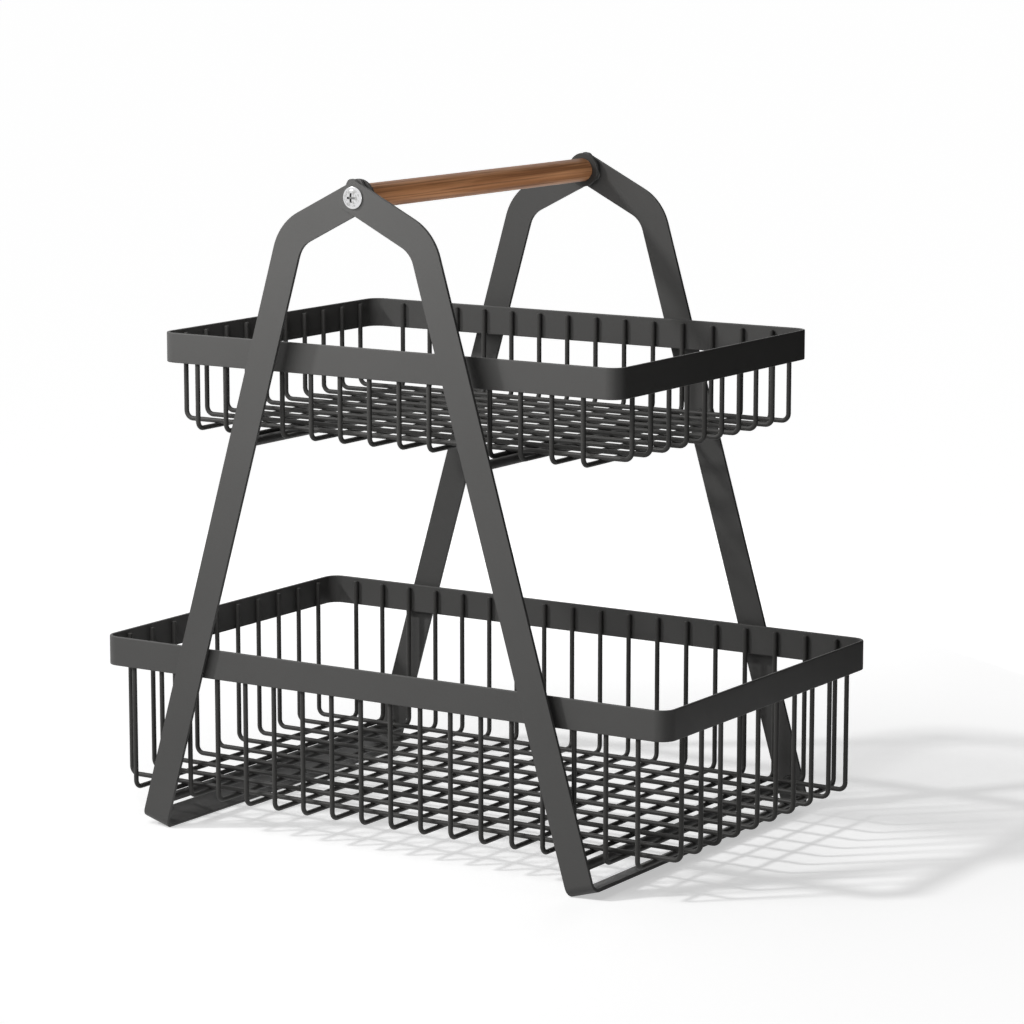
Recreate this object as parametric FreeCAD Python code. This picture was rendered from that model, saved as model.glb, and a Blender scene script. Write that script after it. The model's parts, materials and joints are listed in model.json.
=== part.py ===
import FreeCAD, Part
import math
import os

# Two wire baskets, one above the other, on an A-shaped frame of two bent flat bars with a wooden grip.
# Millimetres. X is the width, Y runs from front to back and Z is up from the surface that it stands on.
# The origin is on that surface, below the middle of the lower basket.

# Flat bars of the two side frames
bar_width = 17.5
bar_thickness = 2.0
foot_inset = 52.5
leg_lean = math.radians(16.3)
arm_slope = math.radians(26.7)
pivot_height = 371.5
arm_end_reach = 7.5
arm_corner_radius = 3.0
shoulder_radius = 32.0
foot_bend_radius = 6.0
foot_ease = 0.4

# Rods that carry the baskets, measured at their centres
rod_diameter = 5.5
lower_rod_height = 15.8
upper_rod_height = 229.9

# Grip, collars and screws
grip_diameter = 13.8
grip_edge_chamfer = 0.6
collar_diameter = 20.0
collar_thickness = 2.0
screw_diameter = 5.0
screw_length = 28.0
screw_tip_length = 3.0
screw_tip_room = 1.0
screw_head_diameter = 12.4
screw_head_height = 2.6
screw_head_edge = 1.0
recess_length = 6.4
recess_width = 1.4
recess_depth = 1.3

# Wire and rim strip of both baskets
wire_diameter = 2.8
wire_bend_radius = 4.4
wire_end_drop = 2.0
rim_height = 17.2
rim_thickness = 1.8
rim_corner_radius = 9.0

# Lower basket
lower_width = 380.0
lower_depth = 230.6
lower_basket_height = 90.3
lower_end_margin = 20.0
lower_side_margin = 20.8
lower_depth_wire_count = 18

# Upper basket
upper_width = 305.0
upper_depth = 213.5
upper_basket_height = 55.7
upper_end_margin = 23.8
upper_side_margin = 19.4
upper_depth_wire_count = 14

width_wire_count = 10

# Places of the loose baskets to the right of the frame's middle plane
lower_basket_shift = 5.6
upper_basket_shift = 6.8

# Clearances
basket_side_gap = 2.4
rest_gap = 0.3
arm_gap = 0.3
screw_play = 0.08
weld_gap = 0.05
overrun = 10.0

# Share of a rounded corner's radius, along each side, from the sharp corner to the middle of its arc
arc_share = 1 - math.sqrt(0.5)

# Where the pieces lie from front to back
inner_face = max(lower_depth, upper_depth) / 2 + basket_side_gap
left_half_depth = inner_face + bar_thickness
right_half_depth = left_half_depth + arm_gap + bar_thickness
collar_outer_face = inner_face - arm_gap
grip_half_length = collar_outer_face - collar_thickness - weld_gap
screw_seat = right_half_depth + weld_gap

# Middle plane of the frame, and how far its feet stand out from it to stay under the lower basket's ends
frame_x = -lower_basket_shift
foot_inner_reach = lower_width / 2 - foot_inset

X = FreeCAD.Vector(1, 0, 0)
Y = FreeCAD.Vector(0, 1, 0)
Z = FreeCAD.Vector(0, 0, 1)
zero = FreeCAD.Vector(0, 0, 0)

# Directions along and across the right leg and the right arm
leg_up = FreeCAD.Vector(-math.sin(leg_lean), 0, math.cos(leg_lean))
leg_out = FreeCAD.Vector(math.cos(leg_lean), 0, math.sin(leg_lean))
arm_up = FreeCAD.Vector(-math.cos(arm_slope), 0, math.sin(arm_slope))
arm_out = FreeCAD.Vector(math.sin(arm_slope), 0, math.cos(arm_slope))
pivot = FreeCAD.Vector(frame_x, 0, pivot_height)
foot = FreeCAD.Vector(frame_x + foot_inner_reach, 0, -foot_ease) + leg_out * (bar_width / 2)


def save(name, shape):
    shape.exportStep("parts/" + name + ".step")


def straight_and_arc_wire(items):
    """Join points into a closed outline; a pair of points is an arc through the first to the second."""
    edges = []
    here = items[0]
    for item in items[1:] + [items[0]]:
        if isinstance(item, tuple):
            edges.append(Part.Arc(here, item[0], item[1]).toShape())
            here = item[1]
        else:
            edges.append(Part.LineSegment(here, item).toShape())
            here = item
    return Part.Wire(edges)


def rod_along_y(diameter, half_length, centre):
    return Part.makeCylinder(diameter / 2, 2 * half_length, centre - Y * half_length, Y)


# Side frames

def shoulder_point():
    """Crossing of the centre lines of the leg and the arm."""
    across = pivot - foot
    turn = leg_up.x * arm_up.z - leg_up.z * arm_up.x
    along = (across.x * arm_up.z - across.z * arm_up.x) / turn
    return foot + leg_up * along


def leg_centre_x(height):
    """X of the right leg's centre line at a height."""
    return foot.x - (height - foot.z) * math.tan(leg_lean)


def foot_and_legs(half_depth, leg_length):
    """Bar bent twice to a front leg, a foot strap and a back leg, as wide as the bar."""
    inside = half_depth - bar_thickness

    def at(y, up):
        return foot - leg_out * (bar_width / 2) + Y * y + leg_up * up

    def bend(y, radius, low):
        """Ends and middle of the bend from a leg's face at y down to the strap's face at low."""
        inward = math.copysign(radius, -y)
        middle = at(y + inward * arc_share, low + radius * arc_share)
        return at(y, low + radius), middle, at(y + inward, low)

    front_leg, front_middle, front_strap = bend(-half_depth, foot_bend_radius, 0)
    back_leg, back_middle, back_strap = bend(half_depth, foot_bend_radius, 0)
    inner_radius = foot_bend_radius - bar_thickness
    inner_front_leg, inner_front_middle, inner_front_strap = bend(-inside, inner_radius, bar_thickness)
    inner_back_leg, inner_back_middle, inner_back_strap = bend(inside, inner_radius, bar_thickness)
    outline = straight_and_arc_wire([
        at(-half_depth, leg_length),
        front_leg,
        (front_middle, front_strap),
        back_strap,
        (back_middle, back_leg),
        at(half_depth, leg_length),
        at(inside, leg_length),
        inner_back_leg,
        (inner_back_middle, inner_back_strap),
        inner_front_strap,
        (inner_front_middle, inner_front_leg),
        at(-inside, leg_length),
    ])
    return Part.Face(outline).extrude(leg_out * bar_width)


def shoulder_and_arm(corner, tangent, y):
    """Flat plate from the top of a leg round the shoulder to the arm's end past the pivot."""
    half = bar_width / 2
    centre_radius = shoulder_radius - half
    leg_top = corner - leg_up * tangent
    arm_start = corner + arm_up * tangent
    bend_centre = leg_top - leg_out * centre_radius
    middle = (leg_out + arm_out).normalize()
    end = pivot + arm_up * arm_end_reach
    cut = arm_corner_radius
    slant = cut * arc_share
    outline = straight_and_arc_wire([
        leg_top + leg_out * half,
        (bend_centre + middle * shoulder_radius, arm_start + arm_out * half),
        end + arm_out * half - arm_up * cut,
        (end + arm_out * (half - slant) - arm_up * slant, end + arm_out * (half - cut)),
        end - arm_out * (half - cut),
        (end - arm_out * (half - slant) - arm_up * slant, end - arm_out * half - arm_up * cut),
        arm_start - arm_out * half,
        (bend_centre + middle * (shoulder_radius - bar_width), leg_top - leg_out * half),
    ])
    plate = Part.Face(outline).extrude(Y * bar_thickness)
    plate.translate(Y * y)
    return plate


def side_frame(half_depth):
    """Right-hand side frame, its arms bored for the screws and its foot's lowest edge eased flat."""
    corner = shoulder_point()
    turn = math.pi / 2 - leg_lean - arm_slope
    tangent = (shoulder_radius - bar_width / 2) * math.tan(turn / 2)
    leg_length = (corner - foot).Length - tangent
    frame = foot_and_legs(half_depth, leg_length)
    for y in (-half_depth, half_depth - bar_thickness):
        frame = frame.fuse(shoulder_and_arm(corner, tangent, y))
    frame = frame.removeSplitter()
    frame = frame.cut(rod_along_y(screw_diameter + 2 * screw_play, half_depth + overrun, pivot))
    below = Part.makeBox(bar_width + 2 * overrun, 2 * (half_depth + overrun), foot_ease + overrun)
    below.translate(FreeCAD.Vector(foot.x - bar_width / 2, -half_depth, -foot_ease))
    below.translate((X + Y + Z) * -overrun)
    return frame.cut(below)


def mirrored(shape):
    """The same piece on the left of the frame's middle plane."""
    return shape.mirror(FreeCAD.Vector(frame_x, 0, 0), X)


def support_rod(height, half_depth):
    half_length = half_depth - bar_thickness - weld_gap
    return rod_along_y(rod_diameter, half_length, FreeCAD.Vector(leg_centre_x(height), 0, height))


# Grip, collars and screws

def grip():
    """Turned wooden dowel with chamfered ends and a blind pilot hole for each screw."""
    dowel = rod_along_y(grip_diameter, grip_half_length, pivot)
    ends = [edge for edge in dowel.Edges if isinstance(edge.Curve, Part.Circle)]
    dowel = dowel.makeChamfer(grip_edge_chamfer, ends)
    hole_depth = screw_length + screw_tip_room - (screw_seat - grip_half_length)
    hole_radius = screw_diameter / 2 + weld_gap
    for side in (-1, 1):
        mouth = pivot + Y * (side * (grip_half_length + overrun))
        dowel = dowel.cut(Part.makeCylinder(hole_radius, hole_depth + overrun, mouth, Y * -side))
    return dowel


def collar(side):
    middle = side * (collar_outer_face - collar_thickness / 2)
    disc = rod_along_y(collar_diameter, collar_thickness / 2, pivot + Y * middle)
    return disc.cut(rod_along_y(screw_diameter + 2 * screw_play, overrun, pivot + Y * middle))


def screw():
    """Domed screw with a cross recess, its head's underside at the origin and its head upwards."""
    radius = screw_head_diameter / 2
    rise = screw_head_height - screw_head_edge
    sphere = (radius * radius + rise * rise) / (2 * rise)
    half_angle = math.asin(radius / sphere) / 2
    crown = FreeCAD.Vector(0, 0, screw_head_height)
    shoulder = FreeCAD.Vector(radius, 0, screw_head_edge)
    dome_centre = screw_head_height - sphere
    on_dome = FreeCAD.Vector(sphere * math.sin(half_angle), 0, dome_centre + sphere * math.cos(half_angle))
    profile = straight_and_arc_wire([zero, FreeCAD.Vector(radius, 0, 0), shoulder, (on_dome, crown)])
    head = Part.Face(profile).revolve(zero, Z, 360)
    shank_length = screw_length - screw_tip_length
    shank = Part.makeCylinder(screw_diameter / 2, shank_length, zero, Z * -1)
    tip = Part.makeCone(screw_diameter / 2, screw_diameter / 4, screw_tip_length, Z * -shank_length, Z * -1)
    body = head.fuse([shank, tip]).removeSplitter()
    recess_floor = screw_head_height - recess_depth
    for long_way, short_way in ((recess_length, recess_width), (recess_width, recess_length)):
        slot = Part.makeBox(long_way, short_way, recess_depth + overrun)
        slot.translate(FreeCAD.Vector(-long_way / 2, -short_way / 2, recess_floor))
        body = body.cut(slot)
    return body


def screw_pair():
    """The two screws, one from the front and one from the back."""
    front = screw()
    front.rotate(zero, X, 90)
    front.translate(pivot - Y * screw_seat)
    back = front.mirror(zero, Y)
    return Part.makeCompound([front, back])


# Baskets

def spread(count, size, margin):
    """Even places along a side, from one margin to the other and centred on zero."""
    pitch = (size - 2 * margin) / (count - 1)
    return [pitch * index - (size / 2 - margin) for index in range(count)]


def seat_height(rod_height, wire_places):
    """Height of the depth wires' centres where a basket, let down, first meets a rod with any wire."""
    reach = rod_diameter / 2 + wire_diameter / 2 + rest_gap
    rise = reach - wire_diameter - weld_gap
    rod_reach = leg_centre_x(rod_height) - frame_x
    for rod_x in (frame_x - rod_reach, frame_x + rod_reach):
        for wire_x in wire_places:
            aside = abs(wire_x - rod_x)
            if aside < reach:
                rise = max(rise, math.sqrt(reach * reach - aside * aside))
    return rod_height + rise


def rounded_slab(width, depth, radius, height):
    half_x = width / 2
    half_y = depth / 2
    slant = radius * arc_share

    def at(x, y):
        return FreeCAD.Vector(x, y, 0)

    outline = straight_and_arc_wire([
        at(-half_x, radius - half_y),
        (at(slant - half_x, slant - half_y), at(radius - half_x, -half_y)),
        at(half_x - radius, -half_y),
        (at(half_x - slant, slant - half_y), at(half_x, radius - half_y)),
        at(half_x, half_y - radius),
        (at(half_x - slant, half_y - slant), at(half_x - radius, half_y)),
        at(radius - half_x, half_y),
        (at(slant - half_x, half_y - slant), at(-half_x, half_y - radius)),
    ])
    return Part.Face(outline).extrude(Z * height)


def rim(width, depth, top):
    """Flat strip bent to a rectangle with rounded corners, standing on edge."""
    outer = rounded_slab(width, depth, rim_corner_radius, rim_height)
    inner = rounded_slab(width - 2 * rim_thickness, depth - 2 * rim_thickness,
                         rim_corner_radius - rim_thickness, rim_height + 2 * overrun)
    inner.translate(Z * -overrun)
    ring = outer.cut(inner)
    ring.translate(Z * (top - rim_height))
    return ring


def bent_wire(span, floor, top):
    """Wire bent to a U along X: down one wall inside the rim, across the floor and up the other wall."""
    half = span / 2 - rim_thickness - weld_gap - wire_diameter / 2
    radius = wire_bend_radius
    slant = radius * arc_share
    bend_top = floor + radius
    end = top - wire_end_drop

    def at(x, z):
        return FreeCAD.Vector(x, 0, z)

    path = Part.Wire([
        Part.LineSegment(at(-half, end), at(-half, bend_top)).toShape(),
        Part.Arc(at(-half, bend_top), at(slant - half, floor + slant), at(radius - half, floor)).toShape(),
        Part.LineSegment(at(radius - half, floor), at(half - radius, floor)).toShape(),
        Part.Arc(at(half - radius, floor), at(half - slant, floor + slant), at(half, bend_top)).toShape(),
        Part.LineSegment(at(half, bend_top), at(half, end)).toShape(),
    ])
    section = Part.Wire([Part.makeCircle(wire_diameter / 2, at(-half, end), Z)])
    return path.makePipeShell([section], True, False)


def basket(tier, width, depth, height, shift, rod_height, end_margin, side_margin, depth_wire_count):
    """Rim, depth wires bent up the front and back, and width wires that lie on them, bent up the ends."""
    middle = X * (frame_x + shift)
    places = [middle.x + place for place in spread(depth_wire_count, width, end_margin)]
    floor = seat_height(rod_height, places)
    top = floor - wire_diameter / 2 + height
    strip = rim(width, depth, top)
    strip.translate(middle)
    save(tier + "_rim", strip)
    for index, x in enumerate(places):
        wire = bent_wire(depth, floor, top)
        wire.rotate(zero, Z, 90)
        wire.translate(X * x)
        save(tier + "_depth_wire_{:02d}".format(index + 1), wire)
    width_wires = []
    for y in spread(width_wire_count, depth, side_margin):
        wire = bent_wire(width, floor + wire_diameter + weld_gap, top)
        wire.translate(middle + Y * y)
        width_wires.append(wire)
    save(tier + "_width_wires", Part.makeCompound(width_wires))


os.makedirs("parts", exist_ok=True)

save("right_side_frame", side_frame(right_half_depth))
save("left_side_frame", mirrored(side_frame(left_half_depth)))
for level, rod_height in (("lower", lower_rod_height), ("upper", upper_rod_height)):
    save("right_" + level + "_rod", support_rod(rod_height, right_half_depth))
    save("left_" + level + "_rod", mirrored(support_rod(rod_height, left_half_depth)))

save("handle_grip", grip())
save("front_collar", collar(-1))
save("back_collar", collar(1))
save("handle_screws", screw_pair())

basket("lower", lower_width, lower_depth, lower_basket_height, lower_basket_shift, lower_rod_height,
       lower_end_margin, lower_side_margin, lower_depth_wire_count)
basket("upper", upper_width, upper_depth, upper_basket_height, upper_basket_shift, upper_rod_height,
       upper_end_margin, upper_side_margin, upper_depth_wire_count)
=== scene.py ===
import json
import math

import bmesh
import bpy
from bpy.props import FloatProperty, FloatVectorProperty, IntProperty, PointerProperty
from mathutils import Matrix, Vector

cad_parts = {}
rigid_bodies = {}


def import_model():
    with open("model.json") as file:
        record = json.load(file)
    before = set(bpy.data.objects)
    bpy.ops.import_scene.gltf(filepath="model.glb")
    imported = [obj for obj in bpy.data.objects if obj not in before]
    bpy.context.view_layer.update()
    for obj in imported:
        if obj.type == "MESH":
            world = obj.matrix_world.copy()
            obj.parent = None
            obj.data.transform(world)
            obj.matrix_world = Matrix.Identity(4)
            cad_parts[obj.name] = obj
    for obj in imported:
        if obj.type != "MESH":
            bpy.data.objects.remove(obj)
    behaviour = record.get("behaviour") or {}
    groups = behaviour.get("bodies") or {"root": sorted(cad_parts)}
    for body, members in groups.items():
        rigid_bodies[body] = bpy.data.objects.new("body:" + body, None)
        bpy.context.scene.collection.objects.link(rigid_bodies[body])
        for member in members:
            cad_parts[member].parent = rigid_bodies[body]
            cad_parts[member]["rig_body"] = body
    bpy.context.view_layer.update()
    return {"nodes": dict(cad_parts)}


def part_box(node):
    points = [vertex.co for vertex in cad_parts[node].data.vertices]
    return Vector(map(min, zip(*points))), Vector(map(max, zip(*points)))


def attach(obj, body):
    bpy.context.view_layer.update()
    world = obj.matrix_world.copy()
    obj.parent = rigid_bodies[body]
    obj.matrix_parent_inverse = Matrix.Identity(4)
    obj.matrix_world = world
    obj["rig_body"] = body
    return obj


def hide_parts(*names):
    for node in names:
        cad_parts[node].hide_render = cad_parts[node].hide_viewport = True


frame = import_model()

bl_info = {
    "name": "Tiered wire basket",
    "version": (1, 0, 0),
    "blender": (4, 5, 0),
    "location": "View3D > Sidebar > Wire basket",
    "description": "Two wire baskets on a folding frame of flat bar, with a turned wooden grip",
    "category": "Object",
}

X = Vector((1, 0, 0))
Y = Vector((0, 1, 0))
Z = Vector((0, 0, 1))
ORIGIN = Vector((0, 0, 0))
FULL_TURN = 2 * math.pi
QUARTER_TURN = math.pi / 2
WHITE = (1, 1, 1, 1)

# Points closer together than this are one point; the finer measure is for turned and sliced pieces
JOIN = 1e-6
FINE_JOIN = 1e-7
# Edges that turn through more than this are rounded over: in general, and on a screw's head
SHARP_EDGE = math.radians(60)
SHARP_HEAD_EDGE = math.radians(40)
# Edges of a screw that turn through more than this keep their crease in the shading
CREASE = math.radians(35)
# Faces across a rounded edge
ROUND_STEPS = 3
# Points further out than this share of a turned piece's radius are at its rim
RIM_SHARE = 0.99
# Points further out than this share of a bore's radius are off its edge
PAST_BORE = 1.1
# Height of a fillet weld at its middle, as a share of its toe
FILLET_MIDDLE = 1 / 3
# Share of the groove's depth by which the points of one ring may differ
RING_SPREAD = 0.1
# Share of the recess's depth below which a face no longer belongs to the dome
BELOW_DOME = 0.05
# Full pull of the large faces on the shading
FLAT_WEIGHT = 100


def middle(node):
    """Middle of a node's box."""
    low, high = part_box(node)
    return (low + high) / 2


def extent(node):
    """Size of a node's box."""
    low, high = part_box(node)
    return high - low


# The screws' axis, about which the frame folds, runs along the middle of the grip
PIVOT = middle("handle_grip")


def length(name, description, default):
    return FloatProperty(name=name, description=description, default=default, min=0, unit="LENGTH",
                         precision=5)


def point(name, description, default):
    return FloatVectorProperty(name=name, description=description, default=default, size=3,
                               unit="LENGTH", subtype="TRANSLATION")


def angle(name, description, degrees):
    return FloatProperty(name=name, description=description, default=math.radians(degrees),
                         subtype="ANGLE")


def colour(name, description, default):
    return FloatVectorProperty(name=name, description=description, default=default, size=3, min=0,
                               max=1, subtype="COLOR")


def factor(name, description, default):
    return FloatProperty(name=name, description=description, default=default, min=0, max=1,
                         subtype="FACTOR")


def power(name, description, default):
    return FloatProperty(name=name, description=description, default=default, min=0, unit="POWER")


def count(name, description, default):
    return IntProperty(name=name, description=description, default=default, min=3)


class FrameSizes(bpy.types.PropertyGroup):
    """Flat bars of the side frames and the rods welded between their legs"""
    bar_width: length("Bar width", "Width of the flat bar", 0.0175)
    bar_thickness: length("Bar thickness", "Thickness of the flat bar", 0.002)
    leg_lean: angle("Leg lean", "How far the legs lean from upright", 16.3)
    arm_slope: angle("Arm slope", "How steeply the arms climb to the handle", 26.7)
    foot_reach: length("Foot reach", "From the middle of the frame to a foot's inner edge", 0.1375)
    foot_ease: length("Foot ease", "How much of a foot's lowest edge is worn flat", 0.0004)
    foot_radius: length("Foot bend", "Outer radius where a leg bends into its foot strap", 0.006)
    shoulder_radius: length("Shoulder bend", "Outer radius where a leg turns into its arm", 0.032)
    arm_reach: length("Arm end", "How far an arm goes on past the screw", 0.0075)
    arm_corner: length("Arm corner", "Radius of the corners of an arm's end", 0.003)
    bore: length("Screw bore", "Diameter of the hole for the screw", 0.00516)
    edge_round: length("Edge round", "Radius of the bar's eased edges", 0.0004)
    weld_toe: length("Weld toe", "Size of the fillet weld round a rod's end", 0.0008)
    corner_steps: count("Corner steps", "Faces along a rounded corner of an arm", 6)
    bore_cuts: count("Bore cuts", "Points added along each side of a pad to round its bore", 4)
    bend_steps: count("Bend steps", "Faces along a bend", 12)
    rod_sides: count("Rod sides", "Faces round a rod", 32)


class HandleSizes(bpy.types.PropertyGroup):
    """Grip, collars and screws"""
    grip_round: length("Grip edge", "Radius of the grip's turned ends", 0.0006)
    pilot: length("Pilot hole", "Diameter of the grip's pilot holes", 0.0051)
    pilot_depth: length("Pilot depth", "Depth of the grip's pilot holes", 0.0223)
    collar_round: length("Collar edge", "Radius of a collar's edges", 0.0004)
    shank: length("Shank", "Diameter of a screw's shank", 0.005)
    shank_length: length("Screw length", "Length of a screw below its head", 0.028)
    tip_length: length("Screw tip", "Length of a screw's tapered tip", 0.003)
    head_height: length("Head height", "Height of a screw's head", 0.0026)
    head_edge: length("Head edge", "Height of the straight edge of a screw's head", 0.001)
    head_round: length("Head round", "Radius at the edge of a screw's head", 0.00035)
    ring_share: factor("Ring groove", "Place of the groove round a head, as a share of its radius", 0.78)
    ring_depth: length("Groove depth", "Depth of the groove round a head", 0.0002)
    recess_length: length("Recess length", "Length of the cross recess", 0.0064)
    recess_width: length("Recess width", "Width of the cross recess", 0.0014)
    recess_depth: length("Recess depth", "Depth of the cross recess", 0.0013)
    recess_taper: factor("Recess taper", "Share of its size that the recess keeps at its floor", 0.7)
    sides: count("Turned sides", "Faces round the grip, a collar or a screw", 48)
    dome_steps: count("Dome steps", "Faces from a screw head's edge to its crown", 14)


class BasketSizes(bpy.types.PropertyGroup):
    """Rim strips and wires of both baskets"""
    strip_thickness: length("Strip thickness", "Thickness of the rim's strip", 0.0018)
    strip_corner: length("Strip corner", "Outer radius of the rim's corners", 0.009)
    strip_round: length("Strip edge", "Radius of the strip's eased edges", 0.0006)
    wire_bend: length("Wire bend", "Radius of a wire's bends along its middle", 0.0044)
    wire_end_round: length("Wire end", "Radius of a wire's dressed ends", 0.0005)
    width_wires: count("Width wires", "Wires that run from end to end of a basket", 10)
    wire_sides: count("Wire sides", "Faces round a wire", 20)
    bend_steps: count("Bend steps", "Faces along a bend", 8)


class Finishes(bpy.types.PropertyGroup):
    """Colours and textures of the coat, the wood and the screws"""
    coat: colour("Coat", "Black powder coat", (0.080, 0.079, 0.077))
    # Darker copy of the black coat for the wires and collars: painted shade, for the way round parts fall
    # darker in the light
    round_coat_painted_shade: colour("Round coat", "Black coat on the wires and collars", (0.050, 0.049, 0.047))
    dark_coat: colour("Dark coat", "Shade of the coat in its clouds and specks", (0.86, 0.86, 0.86))
    # Paler colour painted on the rounded edges, in patches, as a painted highlight
    painted_edge_highlight: colour("Thin coat", "Powder coat where it is thin along the edges", (0.105, 0.104, 0.101))
    coat_cloud: length("Coat clouds", "Size of the coat's faint clouds", 0.036)
    coat_peel: length("Coat peel", "Size of the coat's orange peel", 0.0009)
    peel_height: length("Peel height", "Height of the coat's orange peel", 0.0002)
    coat_speck: length("Coat specks", "Size of the coat's specks", 0.0004)
    coat_smooth: factor("Smooth coat", "Roughness of the coat where it is smoothest", 0.42)
    coat_rough: factor("Rough coat", "Roughness of the coat where it is roughest", 0.54)
    coat_gloss: factor("Coat gloss", "Specular level of the coat", 0.2)
    wood_dark: colour("Dark grain", "Late wood and pores", (0.115, 0.046, 0.019))
    wood_mid: colour("Wood", "Body of the wood", (0.25, 0.108, 0.044))
    wood_light: colour("Light grain", "Early wood", (0.37, 0.180, 0.083))
    wood_band: length("Wood bands", "Width of the wood's broad bands", 0.0036)
    wood_streak: length("Wood streaks", "Width of the wood's dark streaks", 0.0014)
    wood_pore: length("Wood pores", "Width of the wood's open pores", 0.0005)
    pore_depth: length("Pore depth", "Depth of the wood's open pores", 0.0003)
    grain_stretch: factor("Grain stretch", "Width of the bands and pores as a share of their length", 0.03)
    streak_stretch: factor("Streak stretch", "Width of the streaks as a share of their length", 0.012)
    wood_smooth: factor("Smooth wood", "Roughness of the wood where it is smoothest", 0.4)
    wood_rough: factor("Rough wood", "Roughness of the wood where it is roughest", 0.55)
    wood_gloss: factor("Wood gloss", "Specular level of the wood", 0.25)
    screw: colour("Screw", "Bright plated steel", (0.74, 0.74, 0.75))
    # Darker grey painted into the cross recess, as painted shade
    recess: colour("Recess", "Dull plating in the cross recess", (0.26, 0.26, 0.26))
    # Darker grey of the painted reflection patches on the screw's crown
    painted_reflection_grey: colour("Dull plating", "Hazy patches of the plating", (0.42, 0.42, 0.41))
    # Size of the noise that sets the plating's roughness and places the painted reflection patches
    screw_haze: length("Screw haze", "Size of the hazy patches of the plating", 0.0014)
    screw_scratch: length("Screw scratches", "Size of the plating's fine marks", 0.0002)
    scratch_depth: length("Scratch depth", "Depth of the plating's fine marks", 0.0001)
    screw_smooth: factor("Smooth plating", "Roughness of the plating where it is smoothest", 0.1)
    screw_rough: factor("Rough plating", "Roughness of the plating where it is roughest", 0.24)


class StageSettings(bpy.types.PropertyGroup):
    """Camera and light"""
    azimuth: angle("Azimuth", "Camera's place round the object, rightwards from the front", 32.65)
    elevation: angle("Elevation", "Camera's height above the horizon", 9.58)
    distance: length("Distance", "From the camera to its aim", 2.1457)
    sensor: FloatProperty(name="Sensor", description="Width of the camera's sensor", default=36,
                          subtype="DISTANCE_CAMERA")
    lens: FloatProperty(name="Lens", description="Focal length of the camera", default=131.35,
                        subtype="DISTANCE_CAMERA")
    aim: point("Aim", "Point that the camera looks at", (0.01845, 0, 0.18356))
    key_azimuth: angle("Key azimuth", "Key light's place round the object, leftwards from the front", 47)
    key_elevation: angle("Key elevation", "Key light's height above the horizon", 38)
    key_spread: angle("Key spread", "Apparent size of the key light", 5)
    key_strength: FloatProperty(name="Key", description="Strength of the key light", default=1.7, min=0)
    box_azimuth: angle("Box azimuth", "Soft box's place round the handle, leftwards from the front", 12)
    box_elevation: angle("Box elevation", "Soft box's height above the handle's level", 14)
    box_distance: length("Box distance", "From the soft box to the handle", 0.45)
    box_width: length("Box width", "Width of the soft box", 0.4)
    box_height: length("Box height", "Height of the soft box", 0.3)
    box_strength: power("Soft box", "Power of the soft box in front", 1.9)
    fill_azimuth: angle("Fill azimuth", "Fill light's place round the object, leftwards from the front", 165)
    fill_elevation: angle("Fill elevation", "Fill light's height above the horizon", 20)
    fill_distance: length("Fill distance", "From the fill light to the camera's aim", 1)
    fill_size: length("Fill size", "Width and height of the fill light", 0.7)
    fill_strength: power("Fill light", "Power of the fill light behind", 2.5)
    strip_drop: angle("Strip drop", "How far below the grip the strip light stands, to its right", 8)
    strip_distance: length("Strip distance", "From the strip light to the grip", 0.14)
    strip_length: length("Strip length", "Length of the strip light along the grip", 0.24)
    strip_width: length("Strip width", "Width of the strip light", 0.05)
    strip_beam: angle("Strip beam", "Angle of the strip light's beam", 40)
    strip_strength: power("Strip light", "Power of the strip light beside the grip", 0.037)
    card_size: length("Card size", "Width and height of the dark card", 1.2)
    card_turn: angle("Card turn", "Turn of the dark card from facing the object's right end", 57)
    card_place: point("Card place", "Middle of the dark card", (0.42, 0.33, 0.605))
    card: colour("Card", "Dark card", (0.01, 0.01, 0.01))
    ambient: factor("Ambient", "Light from all round", 0.08)
    floor: colour("Floor", "Pale floor", (0.7, 0.7, 0.7))
    near_lift: factor("Near lift", "Brightness added to the floor as seen near the object", 0.485)
    far_lift: factor("Far lift", "Brightness added to the floor as seen far off", 0.705)
    near_floor: length("Near floor", "How far out the floor keeps its near brightness", 0.2)
    far_floor: length("Far floor", "How far out the floor reaches its far brightness", 0.85)
    floor_size: length("Floor size", "Width and depth of the floor", 80)


# Shaping

def only(kind, geometry):
    """Those of a tool's results that are of one kind."""
    return [item for item in geometry if isinstance(item, kind)]


def whole(bm):
    """All vertices, edges and faces of a mesh."""
    return bm.verts[:] + bm.edges[:] + bm.faces[:]


def ends_of(edges):
    """Vertices of some edges, each once and in order."""
    return list(dict.fromkeys(vert for edge in edges for vert in edge.verts))


def run(bm, edges, step):
    """Draw edges out in a straight run; returns the edges at its end."""
    drawn = bmesh.ops.extrude_edge_only(bm, edges=edges)["geom"]
    bmesh.ops.translate(bm, vec=step, verts=only(bmesh.types.BMVert, drawn))
    return only(bmesh.types.BMEdge, drawn)


def turn(bm, edges, centre, axis, swing, steps):
    """Draw edges round a bend; returns the edges at its end."""
    drawn = bmesh.ops.spin(bm, geom=ends_of(edges) + edges, cent=centre, axis=axis, angle=swing,
                           steps=steps, use_merge=False)
    return only(bmesh.types.BMEdge, drawn["geom_last"])


def corners(bm, least):
    """Edges between faces that meet at more than an angle."""
    return [edge for edge in bm.edges if edge.is_manifold and edge.calc_face_angle() > least]


def off_axis(place):
    """Distance from the Y axis."""
    return math.hypot(place.x, place.z)


def rim_edges(bm, radius, least):
    """Edges at the rim of a turned piece, between faces that meet at more than an angle."""
    return [edge for edge in corners(bm, least)
            if min(off_axis(vert.co) for vert in edge.verts) > radius * RIM_SHARE]


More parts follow.
